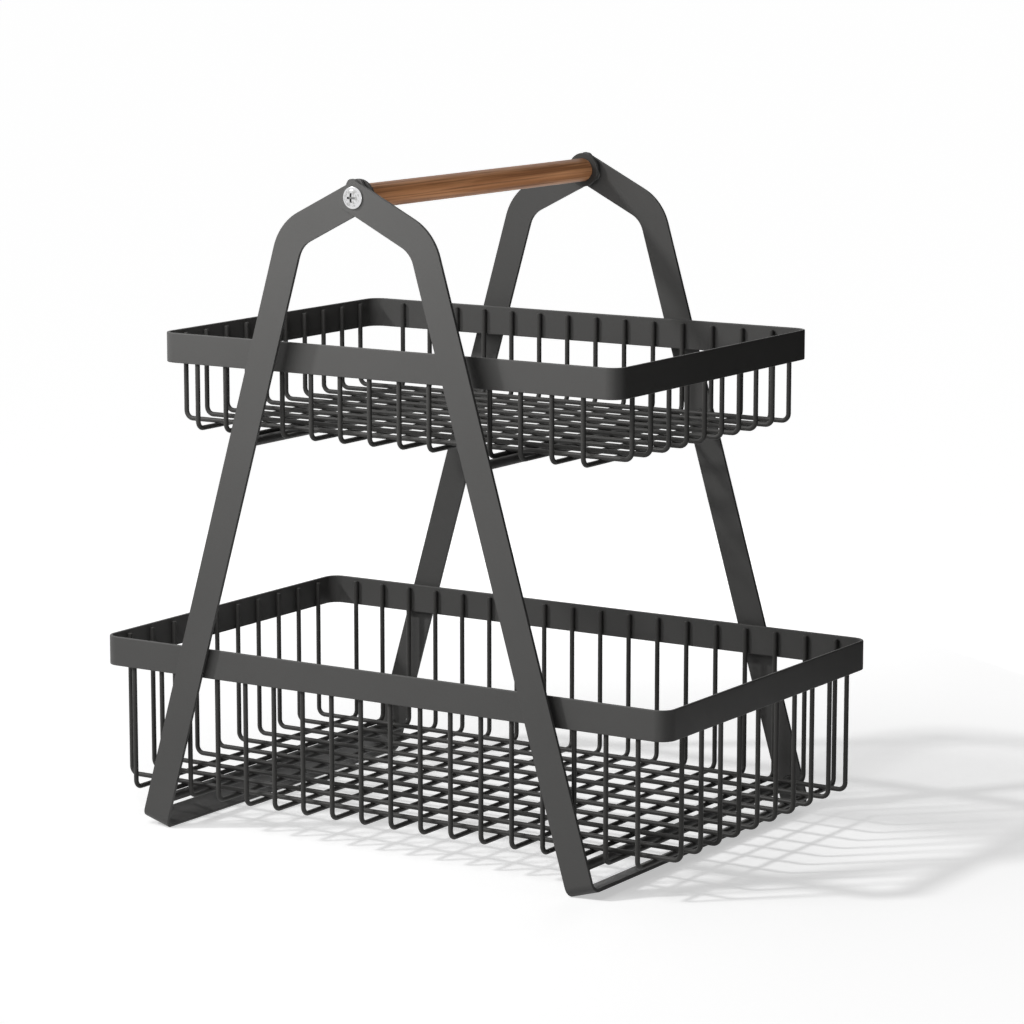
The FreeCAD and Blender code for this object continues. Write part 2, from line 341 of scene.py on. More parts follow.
def round_edges(bm, edges, radius):
    """Round edges over; returns the new faces."""
    return bmesh.ops.bevel(bm, geom=edges, offset=radius, offset_type="OFFSET", affect="EDGES",
                           segments=ROUND_STEPS, profile=0.5, material=-1, clamp_overlap=True)["faces"]


def turned(bm, profile, steps):
    """Turn a chain of edges once round the Y axis and close it."""
    bmesh.ops.spin(bm, geom=ends_of(profile) + profile, cent=ORIGIN, axis=Y, angle=FULL_TURN,
                   steps=steps, use_merge=True)
    bmesh.ops.remove_doubles(bm, verts=bm.verts, dist=FINE_JOIN)
    bmesh.ops.recalc_face_normals(bm, faces=bm.faces)


def chain(bm, places):
    """Edges from place to place, each a distance from the Y axis and a distance along it."""
    verts = [bm.verts.new((out, along, 0)) for out, along in places]
    return [bm.edges.new(pair) for pair in zip(verts, verts[1:])]


def both_ends(near):
    """Places of a profile, followed by those at its other end in turn."""
    return near + [(out, -along) for out, along in reversed(near)]


def loose_object(name, bm):
    """Object made of a mesh, which is used up."""
    mesh = bpy.data.meshes.new(name)
    bm.to_mesh(mesh)
    bm.free()
    item = bpy.data.objects.new(name, mesh)
    bpy.context.scene.collection.objects.link(item)
    return item


def used_up(item, *tools):
    """Mesh of an item with its modifiers; the item and the tools that shaped it are removed."""
    bm = bmesh.new()
    bm.from_object(item, bpy.context.evaluated_depsgraph_get())
    for used in (item, *tools):
        mesh = used.data
        bpy.data.objects.remove(used)
        bpy.data.meshes.remove(mesh)
    return bm


def thickened(bm, thickness, inside):
    """Give a skin its thickness on the side of a point inside it; the skin is used up."""
    bm.normal_update()
    bm.faces.ensure_lookup_table()
    if bm.faces[0].normal.dot(bm.faces[0].calc_center_median() - inside) < 0:
        bmesh.ops.reverse_faces(bm, faces=bm.faces)
    item = loose_object("skin", bm)
    wall = item.modifiers.new("wall", "SOLIDIFY")
    wall.thickness = thickness
    wall.offset = -1
    wall.use_even_offset = True
    return used_up(item)


def mark_painted_edge_highlight(bm, faces):
    """Note the faces along rounded edges, which get a painted highlight."""
    layer = bm.faces.layers.float.new("painted_edge_highlight")
    for face in faces:
        if face.is_valid:
            face[layer] = 1


def piece_for(node, name, bm, material):
    """Make the shaped mesh the piece that stands for a node and rides on the node's body."""
    piece = loose_object(name, bm)
    piece.data.shade_smooth()
    piece.data.materials.append(material)
    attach(piece, frame["nodes"][node]["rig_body"])
    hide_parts(node)
    return piece


def keep_flats_flat(piece):
    """Let the large faces set the shading, so that only the rounded edges shade off."""
    normals = piece.modifiers.new("flat_faces", "WEIGHTED_NORMAL")
    normals.mode = "FACE_AREA"
    normals.weight = FLAT_WEIGHT


# Finishes

def blank_material(name):
    """New material, its tree and its shader."""
    material = bpy.data.materials.new(name)
    material.use_nodes = True
    tree = material.node_tree
    shader = next(node for node in tree.nodes if node.type == "BSDF_PRINCIPLED")
    return material, tree, shader


def add(tree, kind, **values):
    """Add a node with values for its inputs, whose names have spaces for underscores."""
    node = tree.nodes.new(kind)
    for name, value in values.items():
        node.inputs[name.replace("_", " ")].default_value = value
    return node


def noise(tree, place, size, detail, **values):
    """Noise whose patches are about a size across."""
    node = add(tree, "ShaderNodeTexNoise", Scale=1 / size, Detail=detail, **values)
    tree.links.new(place, node.inputs["Vector"])
    return node.outputs[0]


def ranged(tree, value, low, high, to_low, to_high):
    """Value taken from one range to another, and held at its ends."""
    node = add(tree, "ShaderNodeMapRange", From_Min=low, From_Max=high, To_Min=to_low, To_Max=to_high)
    tree.links.new(value, node.inputs["Value"])
    return node.outputs["Result"]


def times(tree, first, second):
    node = tree.nodes.new("ShaderNodeMath")
    node.operation = "MULTIPLY"
    tree.links.new(first, node.inputs[0])
    tree.links.new(second, node.inputs[1])
    return node.outputs[0]


def mixed(tree, share, first, second, blend="MIX"):
    """Mix two colours, each a socket or a colour of three."""
    node = tree.nodes.new("ShaderNodeMix")
    node.data_type = "RGBA"
    node.blend_type = blend
    tree.links.new(share, node.inputs[0])
    for socket, value in zip(node.inputs[6:8], (first, second)):
        if isinstance(value, bpy.types.NodeSocket):
            tree.links.new(value, socket)
        else:
            socket.default_value = (*value, 1)
    return node.outputs[2]


def bump(tree, shader, height, strength, distance):
    node = add(tree, "ShaderNodeBump", Strength=strength, Distance=distance)
    tree.links.new(height, node.inputs["Height"])
    tree.links.new(node.outputs["Normal"], shader.inputs["Normal"])


def object_place(tree):
    return tree.nodes.new("ShaderNodeTexCoord").outputs["Object"]


def face_mark(tree, name):
    """One on the faces that were marked while shaping, and zero elsewhere."""
    node = tree.nodes.new("ShaderNodeAttribute")
    node.attribute_name = name
    return node.outputs["Fac"]


def coat_material(name, shade):
    """Satin powder coat with fine orange peel and faint clouds; the rounded edges are painted paler in
    patches, as a painted highlight.
    """
    known = bpy.data.materials.get(name)
    if known:
        return known
    finish = bpy.context.scene.basket_finishes
    material, tree, shader = blank_material(name)
    place = object_place(tree)
    cloud = noise(tree, place, finish.coat_cloud, detail=4)
    speck = noise(tree, place, finish.coat_speck, detail=2)
    peel = noise(tree, place, finish.coat_peel, detail=2)
    edge_highlight_patches = ranged(tree, cloud, low=0.35, high=0.65, to_low=0.35, to_high=1)
    specks = ranged(tree, speck, low=0.45, high=0.75, to_low=0, to_high=0.6)
    clouds = ranged(tree, cloud, low=0.3, high=0.7, to_low=0, to_high=0.35)
    rough = ranged(tree, cloud, low=0.3, high=0.7, to_low=finish.coat_smooth, to_high=finish.coat_rough)
    # Painted highlight: the rounded edges take the paler colour in patches
    base = mixed(tree, times(tree, face_mark(tree, "painted_edge_highlight"), edge_highlight_patches), shade, finish.painted_edge_highlight)
    base = mixed(tree, specks, base, finish.dark_coat, "MULTIPLY")
    base = mixed(tree, clouds, base, finish.dark_coat, "MULTIPLY")
    tree.links.new(base, shader.inputs["Base Color"])
    tree.links.new(rough, shader.inputs["Roughness"])
    shader.inputs["Specular IOR Level"].default_value = finish.coat_gloss
    bump(tree, shader, peel, strength=0.14, distance=finish.peel_height)
    return material


def satin_coat():
    return coat_material("satin_black_coat", bpy.context.scene.basket_finishes.coat)


# The black coat darkened for the wires and collars, as painted shade
def satin_coat_painted_shade():
    return coat_material("satin_coat_painted_shade", bpy.context.scene.basket_finishes.round_coat_painted_shade)


def oiled_walnut():
    """Oiled brown wood with long grain along the grip, drawn-out pores and a soft sheen."""
    finish = bpy.context.scene.basket_finishes
    material, tree, shader = blank_material("oiled_brown_wood")
    place = object_place(tree)

    def along_grain(stretch):
        """Coordinates centred on the grip and drawn out along it."""
        node = add(tree, "ShaderNodeMapping", Location=-PIVOT)
        node.vector_type = "POINT"
        tree.links.new(place, node.inputs["Vector"])
        drawn = add(tree, "ShaderNodeMapping", Scale=(1, stretch, 1))
        tree.links.new(node.outputs["Vector"], drawn.inputs["Vector"])
        return drawn.outputs["Vector"]

    bands = noise(tree, along_grain(finish.grain_stretch), finish.wood_band, detail=3, Distortion=0.4)
    streaks = noise(tree, along_grain(finish.streak_stretch), finish.wood_streak, detail=3)
    pores = noise(tree, along_grain(finish.grain_stretch), finish.wood_pore, detail=2)
    body = ranged(tree, bands, low=0.38, high=0.6, to_low=0, to_high=1)
    late = ranged(tree, streaks, low=0.48, high=0.68, to_low=0, to_high=0.85)
    opened = ranged(tree, pores, low=0.6, high=0.74, to_low=0, to_high=1)
    height = ranged(tree, pores, low=0.55, high=0.75, to_low=1, to_high=0)
    rough = ranged(tree, streaks, low=0.3, high=0.7, to_low=finish.wood_smooth, to_high=finish.wood_rough)
    base = mixed(tree, body, finish.wood_light, finish.wood_mid)
    base = mixed(tree, late, base, finish.wood_dark)
    base = mixed(tree, times(tree, opened, bands), base, finish.wood_dark)
    tree.links.new(base, shader.inputs["Base Color"])
    tree.links.new(rough, shader.inputs["Roughness"])
    shader.inputs["Specular IOR Level"].default_value = finish.wood_gloss
    bump(tree, shader, height, strength=0.25, distance=finish.pore_depth)
    return material


def bright_plating():
    """Bright plated steel with fine marks, painted reflection patches on the crown and painted shade in the
    cross recess.
    """
    finish = bpy.context.scene.basket_finishes
    material, tree, shader = blank_material("bright_plating")
    place = object_place(tree)
    roughness_and_reflection_noise = noise(tree, place, finish.screw_haze, detail=3)
    scratch = noise(tree, place, finish.screw_scratch, detail=2)
    patches = ranged(tree, roughness_and_reflection_noise, low=0.44, high=0.62, to_low=0, to_high=0.9)
    rough = ranged(tree, roughness_and_reflection_noise, low=0.3, high=0.7, to_low=finish.screw_smooth, to_high=finish.screw_rough)
    # Painted reflection: darker grey patches on the crown inside the groove
    base = mixed(tree, times(tree, face_mark(tree, "crown"), patches), finish.screw, finish.painted_reflection_grey)
    # Painted shade: the faces of the cross recess take the darker recess grey
    base = mixed(tree, face_mark(tree, "recess"), base, finish.recess)
    tree.links.new(base, shader.inputs["Base Color"])
    shader.inputs["Metallic"].default_value = 1
    tree.links.new(rough, shader.inputs["Roughness"])
    bump(tree, shader, scratch, strength=0.05, distance=finish.scratch_depth)
    return material


# Side frames

def round_tip(bm, bar, end, arm, across):
    """Skin of an arm's end, from its tip to where its rounded corners run out; returns the edge there."""
    radius = bar.arm_corner
    flat = bar.bar_width / 2 - radius
    edges = [bm.edges.new((bm.verts.new(end + across * flat), bm.verts.new(end - across * flat)))]
    depth, half = 0, flat
    for step in range(1, bar.corner_steps + 1):
        swing = QUARTER_TURN * step / bar.corner_steps
        next_depth = radius * (1 - math.cos(swing))
        next_half = flat + radius * math.sin(swing)
        edges = run(bm, edges, arm * (depth - next_depth))
        for vert, way in zip(edges[0].verts, (1, -1)):
            vert.co += across * (way * (next_half - half))
        depth, half = next_depth, next_half
    return edges


def bend_bar(bm, bar, half_depth):
    """Bend the right-hand bar's outer skin: arm, shoulder, leg, foot strap, leg, shoulder and arm."""
    lean, slope = bar.leg_lean, bar.arm_slope
    half = bar.bar_width / 2
    up = Vector((-math.sin(lean), 0, math.cos(lean)))
    out = Vector((math.cos(lean), 0, math.sin(lean)))
    arm = Vector((-math.cos(slope), 0, math.sin(slope)))
    across = Vector((math.sin(slope), 0, math.cos(slope)))
    front = Y * -half_depth
    foot = Vector((PIVOT.x + bar.foot_reach, 0, -bar.foot_ease)) + out * half
    gap = PIVOT - foot
    climb = (gap.x * arm.z - gap.z * arm.x) / (up.x * arm.z - up.z * arm.x)
    corner = foot + up * climb
    swing = QUARTER_TURN - lean - slope
    middle_radius = bar.shoulder_radius - half
    tangent = middle_radius * math.tan(swing / 2)
    shoulder = corner - up * tangent - out * middle_radius
    pad = bar.arm_reach - bar.arm_corner + half
    arm_length = (PIVOT - corner).length - tangent - half
    leg_length = climb - tangent - bar.foot_radius
    heel = up * bar.foot_radius + foot
    inward = Y * bar.foot_radius
    strap = 2 * (half_depth - bar.foot_radius)
    steps = bar.bend_steps

    tip = round_tip(bm, bar, PIVOT + arm * bar.arm_reach + front, arm, across)
    edges = run(bm, tip, arm * -pad)
    edges = run(bm, edges, arm * -arm_length)
    edges = turn(bm, edges, shoulder + front, Y, swing, steps)
    edges = run(bm, edges, up * -leg_length)
    edges = turn(bm, edges, heel + front + inward, out, QUARTER_TURN, steps)
    edges = run(bm, edges, Y * strap)
    edges = turn(bm, edges, heel - front - inward, out, QUARTER_TURN, steps)
    edges = run(bm, edges, up * leg_length)
    edges = turn(bm, edges, shoulder - front, Y, -swing, steps)
    edges = run(bm, edges, arm * arm_length)
    edges = run(bm, edges, arm * pad)
    tip = round_tip(bm, bar, PIVOT + arm * bar.arm_reach - front, arm, across)
    bmesh.ops.remove_doubles(bm, verts=ends_of(edges) + ends_of(tip), dist=JOIN)


def off_pivot(place):
    """Distance from the screws' axis."""
    return off_axis(place - PIVOT)


def bore_pads(bm, bar):
    """Open the screw hole in the pad at each arm's end."""
    half = bar.bar_width / 2
    pads = [face for face in bm.faces if off_pivot(face.calc_center_median()) < half / 2]
    land = (bar.arm_reach - bar.arm_corner - bar.bore / 2) / 2
    for pad in pads:
        bmesh.ops.inset_region(bm, faces=[pad], thickness=land, use_boundary=True, use_even_offset=True)
        bmesh.ops.bisect_edges(bm, edges=pad.edges[:], cuts=bar.bore_cuts)
        for vert in pad.verts:
            offset = vert.co - PIVOT
            offset.y = 0
            vert.co = PIVOT + Y * vert.co.y + offset.normalized() * (bar.bore / 2)
    bmesh.ops.delete(bm, geom=pads, context="FACES")


def frame_bar(bar, half_depth):
    """Right-hand bar with its thickness, its eased edges and the flat on which its foot stands."""
    bm = bmesh.new()
    bend_bar(bm, bar, half_depth)
    bmesh.ops.recalc_face_normals(bm, faces=bm.faces)
    bore_pads(bm, bar)
    bm = thickened(bm, bar.bar_thickness, PIVOT)
    edges = [edge for edge in corners(bm, SHARP_EDGE)
             if min(off_pivot(vert.co) for vert in edge.verts) > bar.bore / 2 * PAST_BORE]
    eased = round_edges(bm, edges, bar.edge_round)
    mark_painted_edge_highlight(bm, eased)
    cut = bmesh.ops.bisect_plane(bm, geom=whole(bm), plane_co=ORIGIN, plane_no=Z, dist=FINE_JOIN,
                                 clear_inner=True)["geom_cut"]
    bmesh.ops.holes_fill(bm, edges=only(bmesh.types.BMEdge, cut))
    bmesh.ops.recalc_face_normals(bm, faces=bm.faces)
    return bm


class WIRE_BASKET_OT_side_frames(bpy.types.Operator):
    """Bend the two side frames, one nested in the other"""
    bl_idname = "wire_basket.side_frames"
    bl_label = "Side frames"

    def execute(self, context):
        bar = context.scene.basket_frame
        for side in ("right", "left"):
            node = side + "_side_frame"
            bm = frame_bar(bar, extent(node).y / 2)
            if side == "left":
                swap = Matrix.Translation(PIVOT) @ Matrix.Scale(-1, 4, X) @ Matrix.Translation(-PIVOT)
                bmesh.ops.transform(bm, matrix=swap, verts=bm.verts)
                bmesh.ops.recalc_face_normals(bm, faces=bm.faces)
            piece = piece_for(node, side + "_bent_bar", bm, satin_coat())
            keep_flats_flat(piece)
        return {"FINISHED"}


class WIRE_BASKET_OT_support_rods(bpy.types.Operator):
    """Turn the four rods on which the baskets lie, with a fillet weld at each end"""
    bl_idname = "wire_basket.support_rods"
    bl_label = "Support rods"

    def execute(self, context):
        sizes = context.scene.basket_frame
        toe = sizes.weld_toe
        low_toe = toe * FILLET_MIDDLE
        for side in ("right", "left"):
            for level in ("upper", "lower"):
                name = side + "_" + level
                node = name + "_rod"
                size = extent(node)
                radius, half = size.x / 2, size.y / 2
                fillet = [(radius + toe, half), (radius + low_toe, half - low_toe), (radius, half - toe)]
                bm = bmesh.new()
                turned(bm, chain(bm, both_ends([(0, half), *fillet])), sizes.rod_sides)
                bmesh.ops.translate(bm, vec=middle(node), verts=bm.verts)
                piece = piece_for(node, name + "_welded_rod", bm, satin_coat())
                keep_flats_flat(piece)
        return {"FINISHED"}


# Handle

class WIRE_BASKET_OT_grip(bpy.types.Operator):
    """Turn the wooden grip with its pilot holes"""
    bl_idname = "wire_basket.grip"
    bl_label = "Grip"

    def execute(self, context):
        sizes = context.scene.basket_handle
        size = extent("handle_grip")
        radius, half = size.x / 2, size.y / 2
        hole, floor = sizes.pilot / 2, half - sizes.pilot_depth
        near = [(0, floor), (hole, floor), (hole, half), (radius, half)]
        bm = bmesh.new()
        turned(bm, chain(bm, both_ends(near)), sizes.sides)
        round_edges(bm, rim_edges(bm, radius, SHARP_EDGE), sizes.grip_round)
        bmesh.ops.translate(bm, vec=PIVOT, verts=bm.verts)
        piece = piece_for("handle_grip", "turned_grip", bm, oiled_walnut())
        keep_flats_flat(piece)
        return {"FINISHED"}


class WIRE_BASKET_OT_collars(bpy.types.Operator):
    """Turn the black collars at the grip's ends"""
    bl_idname = "wire_basket.collars"
    bl_label = "Collars"

    def execute(self, context):
        sizes = context.scene.basket_handle
        bore = context.scene.basket_frame.bore / 2
        for end in ("front", "back"):
            node = end + "_collar"
            size = extent(node)
            radius, half = size.x / 2, size.y / 2
            bm = bmesh.new()
            ring = chain(bm, [(bore, half), (radius, half), (radius, -half), (bore, -half)])
            ring.append(bm.edges.new((ring[-1].verts[1], ring[0].verts[0])))
            turned(bm, ring, sizes.sides)
            eased = round_edges(bm, corners(bm, SHARP_EDGE), sizes.collar_round)
            mark_painted_edge_highlight(bm, eased)
            bmesh.ops.translate(bm, vec=middle(node), verts=bm.verts)
            piece = piece_for(node, end + "_turned_collar", bm, satin_coat_painted_shade())
            keep_flats_flat(piece)
        return {"FINISHED"}


def screw_body(bm, sizes, radius):
    """Screw with its head's underside at the origin and its crown towards -Y; returns the dome's ball."""
    rise = sizes.head_height - sizes.head_edge
    ball = (radius * radius + rise * rise) / (2 * rise)
    shank, tip = sizes.shank / 2, sizes.shank_length - sizes.tip_length
    stem = chain(bm, [(0, sizes.shank_length), (shank / 2, sizes.shank_length), (shank, tip), (shank, 0),
                      (radius, 0), (radius, -sizes.head_edge)])
    rim = stem[-1].verts[1]
    centre = Y * (ball - sizes.head_height)
    bmesh.ops.spin(bm, geom=[rim], cent=centre, axis=-Z, angle=math.asin(radius / ball),
                   steps=sizes.dome_steps, use_merge=False)
    turned(bm, bm.edges[:], sizes.sides)
    round_edges(bm, rim_edges(bm, radius, SHARP_HEAD_EDGE), sizes.head_round)
    return centre, ball


def groove_head(bm, sizes, radius):
    """Press a fine groove into the dome, along the ring of vertices nearest to the groove's place."""
    groove = radius * sizes.ring_share
    dome = [vert for vert in bm.verts if vert.co.y < -sizes.head_edge]
    ring = min((off_axis(vert.co) for vert in dome), key=lambda out: abs(out - groove))
    for vert in dome:
        if abs(off_axis(vert.co) - ring) < sizes.ring_depth * RING_SPREAD:
            vert.co.y += sizes.ring_depth


def recess_tool(bm, sizes):
    """Cross that narrows towards its floor, to be sunk into a head's crown."""
    width, depth = sizes.recess_width, sizes.recess_depth
    cube = bmesh.ops.create_cube(bm, size=width)["verts"]
    bmesh.ops.scale(bm, vec=(1, 2 * depth / width, 1), verts=cube)
    sides = [face for face in bm.faces if round(face.normal.y) == 0]
    wing = (sizes.recess_length - width) / 2
    for face in bmesh.ops.extrude_discrete_faces(bm, faces=sides)["faces"]:
        bmesh.ops.translate(bm, vec=face.normal * wing, verts=face.verts)
    floor = [vert for vert in bm.verts if vert.co.y > 0]
    bmesh.ops.scale(bm, vec=(sizes.recess_taper, 1, sizes.recess_taper), verts=floor)
    bmesh.ops.recalc_face_normals(bm, faces=bm.faces)
    bmesh.ops.translate(bm, vec=Y * -sizes.head_height, verts=bm.verts)


def mark_head(bm, sizes, radius, centre, ball):
    """Note the faces of the crown inside the groove, for the painted reflection patches, and those of the
    recess, below the dome, for the painted shade.
    """
    crown = bm.faces.layers.float.new("crown")
    recess = bm.faces.layers.float.new("recess")
    for face in bm.faces:
        place = face.calc_center_median()
        out = off_axis(place)
        depth = ball - (place - centre).length
        if place.y < 0 and out < radius * sizes.ring_share:
            face[crown] = 1
            if out < sizes.recess_length / 2 and depth > sizes.recess_depth * BELOW_DOME:
                face[recess] = 1


def cut_by(item, tool):
    """Mesh of an item with a tool's shape cut out of it; both are used up."""
    cut = item.modifiers.new("recess", "BOOLEAN")
    cut.operation = "DIFFERENCE"
    cut.solver = "EXACT"
    cut.object = tool
    return used_up(item, tool)


class WIRE_BASKET_OT_screws(bpy.types.Operator):
    """Turn the two bright screws and sink their cross recesses"""
    bl_idname = "wire_basket.screws"
    bl_label = "Screws"

    def execute(self, context):
        sizes = context.scene.basket_handle
        low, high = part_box("handle_screws")
        body = bmesh.new()
        radius = (high.x - low.x) / 2
        dome = screw_body(body, sizes, radius)
        groove_head(body, sizes, radius)
        tool = bmesh.new()
        recess_tool(tool, sizes)
        bm = cut_by(loose_object("screw_blank", body), loose_object("recess_tool", tool))
        bmesh.ops.remove_doubles(bm, verts=bm.verts, dist=JOIN)
        mark_head(bm, sizes, radius, *dome)
        seat = low.y + sizes.head_height
        bmesh.ops.translate(bm, vec=PIVOT + Y * (seat - PIVOT.y), verts=bm.verts)
        bmesh.ops.mirror(bm, geom=whole(bm), matrix=Matrix.Identity(4), axis="Y", merge_dist=0)
        bmesh.ops.recalc_face_normals(bm, faces=bm.faces)
        piece = piece_for("handle_screws", "bright_screws", bm, bright_plating())
        piece.data.set_sharp_from_angle(angle=CREASE)
        return {"FINISHED"}


# Baskets

class WIRE_BASKET_OT_rims(bpy.types.Operator):
    """Bend the rim strips of both baskets"""
    bl_idname = "wire_basket.rims"
    bl_label = "Rims"

    def execute(self, context):
        sizes = context.scene.basket_wirework
        radius = sizes.strip_corner
        for tier in ("upper", "lower"):
            node = tier + "_rim"
            low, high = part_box(node)
            size = high - low
            inside_x, inside_y = size.x - 2 * radius, size.y - 2 * radius
            bm = bmesh.new()
            start = Vector((low.x + radius, low.y, low.z))
            edges = [bm.edges.new((bm.verts.new(start), bm.verts.new(start + Z * size.z)))]
            hub = start + Y * radius
            for side in (X * inside_x, Y * inside_y, X * -inside_x, Y * -inside_y):
                edges = run(bm, edges, side)
                hub = hub + side
                edges = turn(bm, edges, hub, Z, QUARTER_TURN, sizes.bend_steps)
            bmesh.ops.remove_doubles(bm, verts=bm.verts, dist=JOIN)
            bm = thickened(bm, sizes.strip_thickness, middle(node))
            eased = round_edges(bm, corners(bm, SHARP_EDGE), sizes.strip_round)
            mark_painted_edge_highlight(bm, eased)
            piece = piece_for(node, tier + "_rim_strip", bm, satin_coat())
            keep_flats_flat(piece)
        return {"FINISHED"}


def bend_wire(bm, sizes, start, along, drop, span, radius):
    """Bend a round wire from its top end: down a wall, across the floor and up the other wall."""
    ring = bmesh.ops.create_circle(bm, cap_ends=True, segments=sizes.wire_sides, radius=radius,
                                   matrix=Matrix.Translation(start))["verts"]
    edges = ring[0].link_faces[0].edges[:]
    first_end = edges
    bend = sizes.wire_bend
    axis = along.cross(Z)
    floor = start - Z * drop
    edges = run(bm, edges, Z * (bend - drop))
    edges = turn(bm, edges, floor + (along + Z) * bend, axis, QUARTER_TURN, sizes.bend_steps)
    edges = run(bm, edges, along * (span - 2 * bend))
    edges = turn(bm, edges, floor + along * (span - bend) + Z * bend, axis, QUARTER_TURN,
                 sizes.bend_steps)
    edges = run(bm, edges, Z * (drop - bend))
    bmesh.ops.contextual_create(bm, geom=edges)
    round_edges(bm, first_end + edges, sizes.wire_end_round)


class WIRE_BASKET_OT_depth_wires(bpy.types.Operator):
    """Bend the wires that run from front to back of each basket"""
    bl_idname = "wire_basket.depth_wires"
    bl_label = "Depth wires"

    def execute(self, context):
        sizes = context.scene.basket_wirework
        for node in sorted(frame["nodes"]):
            if "_depth_wire_" not in node:
                continue
            name = node.replace("_depth_wire_", "_bent_wire_")
            low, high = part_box(node)
            size = high - low
            radius = size.x / 2
            start = Vector(((low.x + high.x) / 2, low.y + radius, high.z))
            bm = bmesh.new()
            bend_wire(bm, sizes, start, Y, size.z - radius, size.y - 2 * radius, radius)
            bmesh.ops.recalc_face_normals(bm, faces=bm.faces)
            piece_for(node, name, bm, satin_coat_painted_shade())
        return {"FINISHED"}


class WIRE_BASKET_OT_width_wires(bpy.types.Operator):
    """Bend the wires that run from end to end of each basket"""
    bl_idname = "wire_basket.width_wires"
    bl_label = "Width wires"

    def execute(self, context):
        sizes = context.scene.basket_wirework
        for tier in ("upper", "lower"):
            node = tier + "_width_wires"
            low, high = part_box(node)
            size = high - low
            radius = extent(tier + "_depth_wire_01").x / 2
            pitch = (size.y - 2 * radius) / (sizes.width_wires - 1)
            bm = bmesh.new()
            for index in range(sizes.width_wires):
                start = Vector((low.x + radius, low.y + radius + index * pitch, high.z))
                bend_wire(bm, sizes, start, X, size.z - radius, size.x - 2 * radius, radius)
            bmesh.ops.recalc_face_normals(bm, faces=bm.faces)
            piece_for(node, tier + "_long_wires", bm, satin_coat_painted_shade())
        return {"FINISHED"}


# Stage

def seen_directly(tree):
    """One where the camera sees the surface, also mirrored or through glass, and zero for its light."""
    rays = tree.nodes.new("ShaderNodeLightPath")
    seen = rays.outputs["Is Camera Ray"]
    for name in ("Is Glossy Ray", "Is Transmission Ray"):
        either = tree.nodes.new("ShaderNodeMath")
        either.operation = "MAXIMUM"
        tree.links.new(seen, either.inputs[0])
        tree.links.new(rays.outputs[name], either.inputs[1])
        seen = either.outputs[0]
    return seen


def pale_floor(stage):
    """Matt floor that the camera sees near white, with the shadows kept."""
    material, tree, shader = matt_material("pale_floor", stage.floor)
    shader.inputs["Emission Color"].default_value = WHITE
    away = tree.nodes.new("ShaderNodeVectorMath")
    away.operation = "LENGTH"
    tree.links.new(object_place(tree), away.inputs[0])
    lift = ranged(tree, away.outputs["Value"], stage.near_floor, stage.far_floor,
                  stage.near_lift, stage.far_lift)
    tree.links.new(times(tree, seen_directly(tree), lift), shader.inputs["Emission Strength"])
    return material


def around(azimuth, elevation):
    """Direction from the object, the azimuth counted from the front towards the right."""
    level = math.cos(elevation)
    return Vector((math.sin(azimuth) * level, -math.cos(azimuth) * level, math.sin(elevation)))


def place_facing(name, data, location, target):
    """Camera or lamp that looks at a target."""
    item = bpy.data.objects.new(name, data)
    item.location = location
    item.rotation_mode = "QUATERNION"
    item.rotation_quaternion = (target - location).to_track_quat("-Z", "Y")
    bpy.context.scene.collection.objects.link(item)
    return item


def matt_material(name, shade):
    """Plain matt material of the stage, its tree and its shader."""
    material, tree, shader = blank_material(name)
    shader.inputs["Base Color"].default_value = (*shade, 1)
    shader.inputs["Roughness"].default_value = 1
    shader.inputs["Specular IOR Level"].default_value = 0
    return material, tree, shader


def soft_lamp(name, width, height, strength, location, target):
    """Area light that the camera doesn't see."""
    light = bpy.data.lights.new(name, "AREA")
    light.shape = "RECTANGLE"
    light.size = width
    light.size_y = height
    light.energy = strength
    lamp = place_facing(name, light, location, target)
    lamp.visible_camera = False
    return lamp


def shade_card(stage):
    """Dark card, unseen by the camera, that keeps the object's right side in shade."""
    bm = bmesh.new()
    sheet = bmesh.ops.create_grid(bm, x_segments=1, y_segments=1, size=stage.card_size / 2)["verts"]
    bmesh.ops.rotate(bm, cent=ORIGIN, matrix=Matrix.Rotation(QUARTER_TURN, 3, "Y"), verts=sheet)
    bmesh.ops.rotate(bm, cent=ORIGIN, matrix=Matrix.Rotation(stage.card_turn, 3, "Z"), verts=sheet)
    bmesh.ops.translate(bm, vec=stage.card_place, verts=sheet)
    card = loose_object("shade_card", bm)
    card.data.materials.append(matt_material("dark_card", stage.card)[0])
    card.visible_camera = False
    card.visible_shadow = False
    return card


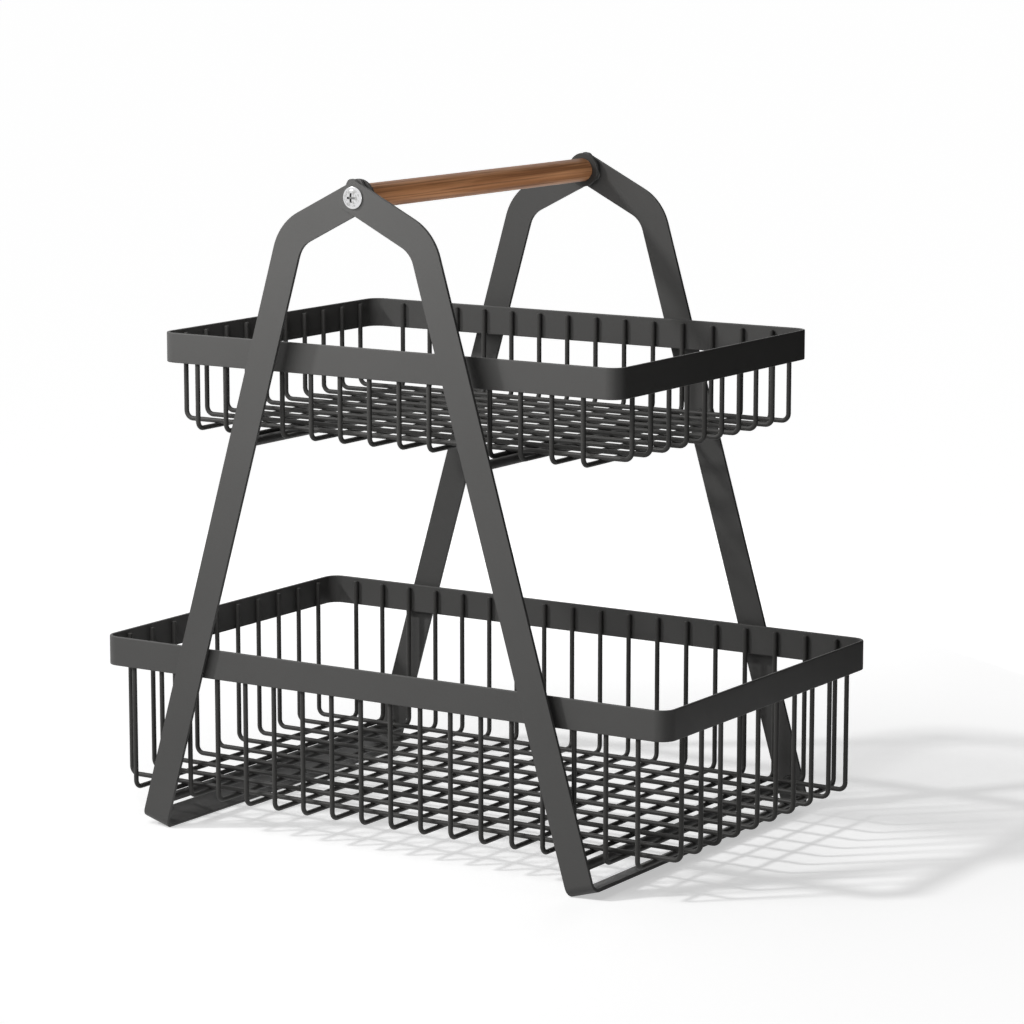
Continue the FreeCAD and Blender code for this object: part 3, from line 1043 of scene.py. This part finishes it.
class WIRE_BASKET_OT_stage(bpy.types.Operator):
    """Set up the floor, the light and the camera"""
    bl_idname = "wire_basket.stage"
    bl_label = "Stage"

    def execute(self, context):
        scene = context.scene
        stage = scene.basket_stage
        aim = Vector(stage.aim)

        bm = bmesh.new()
        bmesh.ops.create_grid(bm, x_segments=1, y_segments=1, size=stage.floor_size / 2)
        floor = loose_object("floor", bm)
        floor.data.materials.append(pale_floor(stage))
        shade_card(stage)

        world = bpy.data.worlds.new("studio")
        world.use_nodes = True
        tree = world.node_tree
        light = next(node for node in tree.nodes if node.type == "BACKGROUND")
        light.inputs["Color"].default_value = WHITE
        strength = ranged(tree, seen_directly(tree), low=0, high=1, to_low=stage.ambient, to_high=1)
        tree.links.new(strength, light.inputs["Strength"])
        scene.world = world

        key = bpy.data.lights.new("key", "SUN")
        key.energy = stage.key_strength
        key.angle = stage.key_spread
        key_way = around(-stage.key_azimuth, stage.key_elevation)
        place_facing("key", key, aim + key_way * stage.distance, aim)

        box_way = around(-stage.box_azimuth, stage.box_elevation)
        box = soft_lamp("soft_box", stage.box_width, stage.box_height, stage.box_strength,
                        PIVOT + box_way * stage.box_distance, PIVOT)
        box.visible_glossy = False

        fill_way = around(-stage.fill_azimuth, stage.fill_elevation)
        fill = soft_lamp("back_fill", stage.fill_size, stage.fill_size, stage.fill_strength,
                         aim + fill_way * stage.fill_distance, aim)
        fill.visible_glossy = False

        strip_way = around(QUARTER_TURN, -stage.strip_drop)
        strip = soft_lamp("grip_strip", stage.strip_length, stage.strip_width, stage.strip_strength,
                          PIVOT + strip_way * stage.strip_distance, PIVOT)
        strip.data.spread = stage.strip_beam

        camera = bpy.data.cameras.new("camera")
        camera.sensor_width = stage.sensor
        camera.lens = stage.lens
        camera_way = around(stage.azimuth, stage.elevation)
        scene.camera = place_facing("camera", camera, aim + camera_way * stage.distance, aim)
        scene.view_settings.view_transform = "Standard"
        return {"FINISHED"}


OPERATORS = (
    WIRE_BASKET_OT_side_frames,
    WIRE_BASKET_OT_support_rods,
    WIRE_BASKET_OT_grip,
    WIRE_BASKET_OT_collars,
    WIRE_BASKET_OT_screws,
    WIRE_BASKET_OT_rims,
    WIRE_BASKET_OT_depth_wires,
    WIRE_BASKET_OT_width_wires,
    WIRE_BASKET_OT_stage,
)

SETTINGS = {
    "basket_frame": FrameSizes,
    "basket_handle": HandleSizes,
    "basket_wirework": BasketSizes,
    "basket_finishes": Finishes,
    "basket_stage": StageSettings,
}


class VIEW3D_PT_wire_basket(bpy.types.Panel):
    """Sizes, colours and pieces of the basket"""
    bl_label = "Wire basket"
    bl_space_type = "VIEW_3D"
    bl_region_type = "UI"
    bl_category = "Wire basket"

    def draw(self, context):
        layout = self.layout
        for operator in OPERATORS:
            layout.operator(operator.bl_idname)
        for name, group in SETTINGS.items():
            column = layout.box().column()
            for setting in group.__annotations__:
                column.prop(getattr(context.scene, name), setting)


def register():
    for group in SETTINGS.values():
        bpy.utils.register_class(group)
    for operator in OPERATORS:
        bpy.utils.register_class(operator)
    bpy.utils.register_class(VIEW3D_PT_wire_basket)
    for name, group in SETTINGS.items():
        setattr(bpy.types.Scene, name, PointerProperty(type=group))


def unregister():
    for name in SETTINGS:
        delattr(bpy.types.Scene, name)
    bpy.utils.unregister_class(VIEW3D_PT_wire_basket)
    for operator in reversed(OPERATORS):
        bpy.utils.unregister_class(operator)
    for group in reversed(SETTINGS.values()):
        bpy.utils.unregister_class(group)


def main():
    register()
    bpy.ops.wire_basket.side_frames()
    bpy.ops.wire_basket.support_rods()
    bpy.ops.wire_basket.grip()
    bpy.ops.wire_basket.collars()
    bpy.ops.wire_basket.screws()
    bpy.ops.wire_basket.rims()
    bpy.ops.wire_basket.depth_wires()
    bpy.ops.wire_basket.width_wires()
    bpy.ops.wire_basket.stage()


if __name__ == "__main__":
    main()
